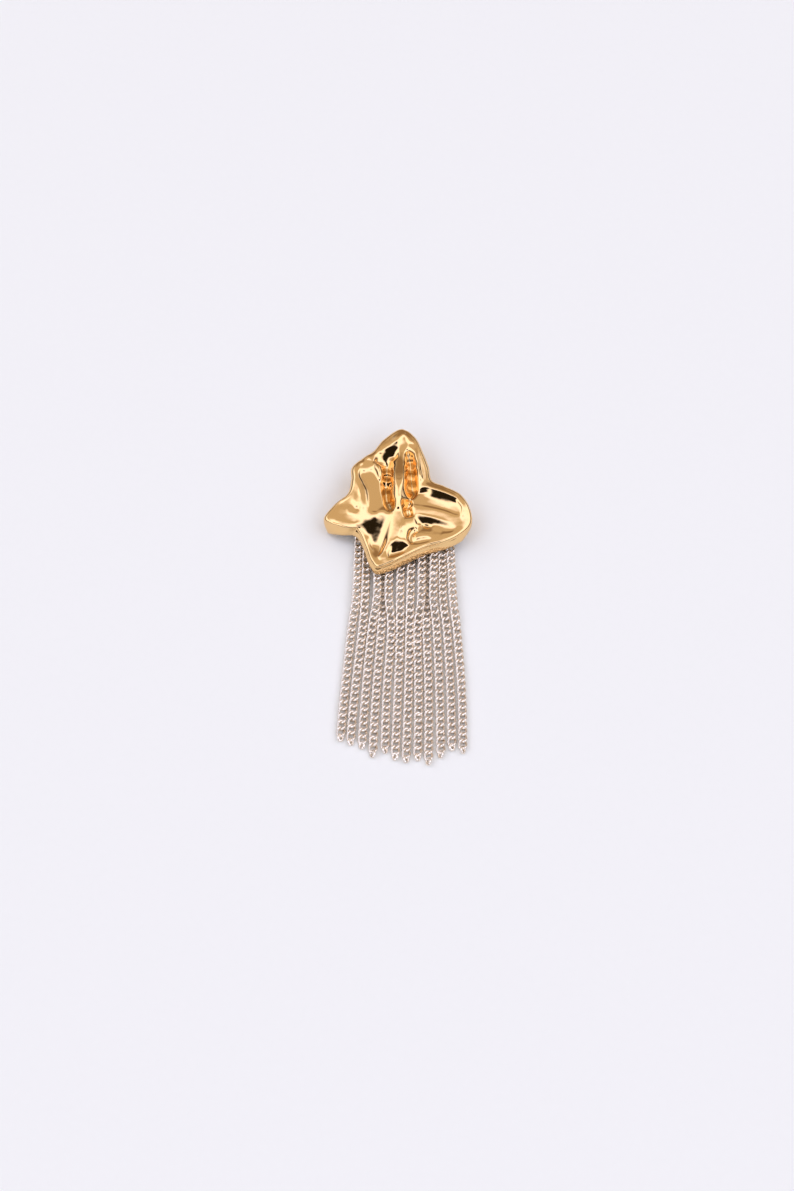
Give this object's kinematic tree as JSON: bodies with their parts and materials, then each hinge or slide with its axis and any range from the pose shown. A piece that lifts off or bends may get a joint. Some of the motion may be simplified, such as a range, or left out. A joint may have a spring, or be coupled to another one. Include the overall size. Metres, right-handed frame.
{
  "type": "lapel chain brooch",
  "caption": "Polished gold brooch head with rounded folds and pits, hollow at the back with a bar pin, and a fringe of fine silver curb chains.",
  "frame": {"origin": "on the surface it lies on, under the middle of the whole brooch", "axes": "+Z out of the folded face, +Y towards the head's top lobe, away from the chains' free ends, +X to the right seen from the face"},
  "size_m": [0.024, 0.0575, 0.0062],
  "materials": {
    "polished_gold": "polished",
    "back_gold": "satin",
    "silver_chain": "polished"
  },
  "bodies": {
    "root": {"head": "polished_gold", "chain_rail": "back_gold", "pin_back": "back_gold", "strand_01": "silver_chain", "strand_02": "silver_chain", "strand_03": "silver_chain", "strand_04": "silver_chain", "strand_05": "silver_chain", "strand_06": "silver_chain", "strand_07": "silver_chain", "strand_08": "silver_chain", "strand_09": "silver_chain", "strand_10": "silver_chain", "strand_11": "silver_chain", "strand_12": "silver_chain"}
  },
  "joints": []
}
